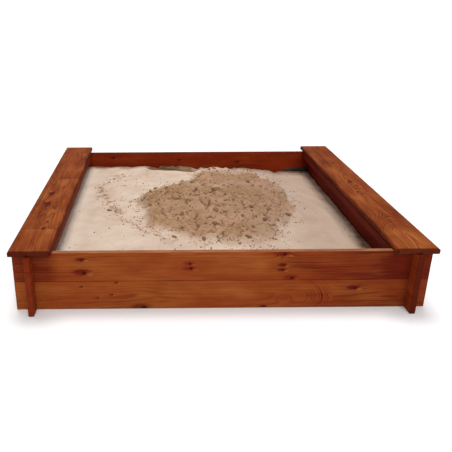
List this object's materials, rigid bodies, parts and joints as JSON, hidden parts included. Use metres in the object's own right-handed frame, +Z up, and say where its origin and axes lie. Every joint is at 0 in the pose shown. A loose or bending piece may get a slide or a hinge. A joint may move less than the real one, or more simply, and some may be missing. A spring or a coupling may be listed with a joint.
{
  "type": "sandbox",
  "caption": "Low square sandbox of stained softwood boards notched together at the corners, with flat seat boards along both sides and a filling of sand.",
  "frame": {"origin": "middle of the footprint, on the ground", "axes": "+X towards the right side wall, +Y towards the back wall, +Z up"},
  "size_m": [1.512, 1.5, 0.25],
  "materials": {
    "wall_softwood": "red-brown stained, planed spruce",
    "seat_softwood": "red-brown stained, planed spruce",
    "bearer_softwood": "red-brown stained, planed spruce",
    "screws": "stained-over yellow-passivated steel",
    "ground_sheet": "woven black polypropylene",
    "dry_sand": "dry fine pale sand",
    "moist_sand": "moist loose crumbly sand"
  },
  "bodies": {
    "root": {"front_lower_board": "wall_softwood", "front_upper_board": "wall_softwood", "back_lower_board": "wall_softwood", "back_upper_board": "wall_softwood", "left_bottom_board": "wall_softwood", "left_middle_board": "wall_softwood", "left_top_board": "wall_softwood", "right_bottom_board": "wall_softwood", "right_middle_board": "wall_softwood", "right_top_board": "wall_softwood", "left_seat_board": "seat_softwood", "right_seat_board": "seat_softwood", "left_bearer_board": "bearer_softwood", "right_bearer_board": "bearer_softwood", "left_seat_rail": "bearer_softwood", "right_seat_rail": "bearer_softwood", "left_seat_screws": "screws", "right_seat_screws": "screws", "left_bearer_screws": "screws", "right_bearer_screws": "screws", "ground_sheet": "ground_sheet", "sand_bed": "dry_sand", "sand_heap": "moist_sand"}
  },
  "joints": []
}
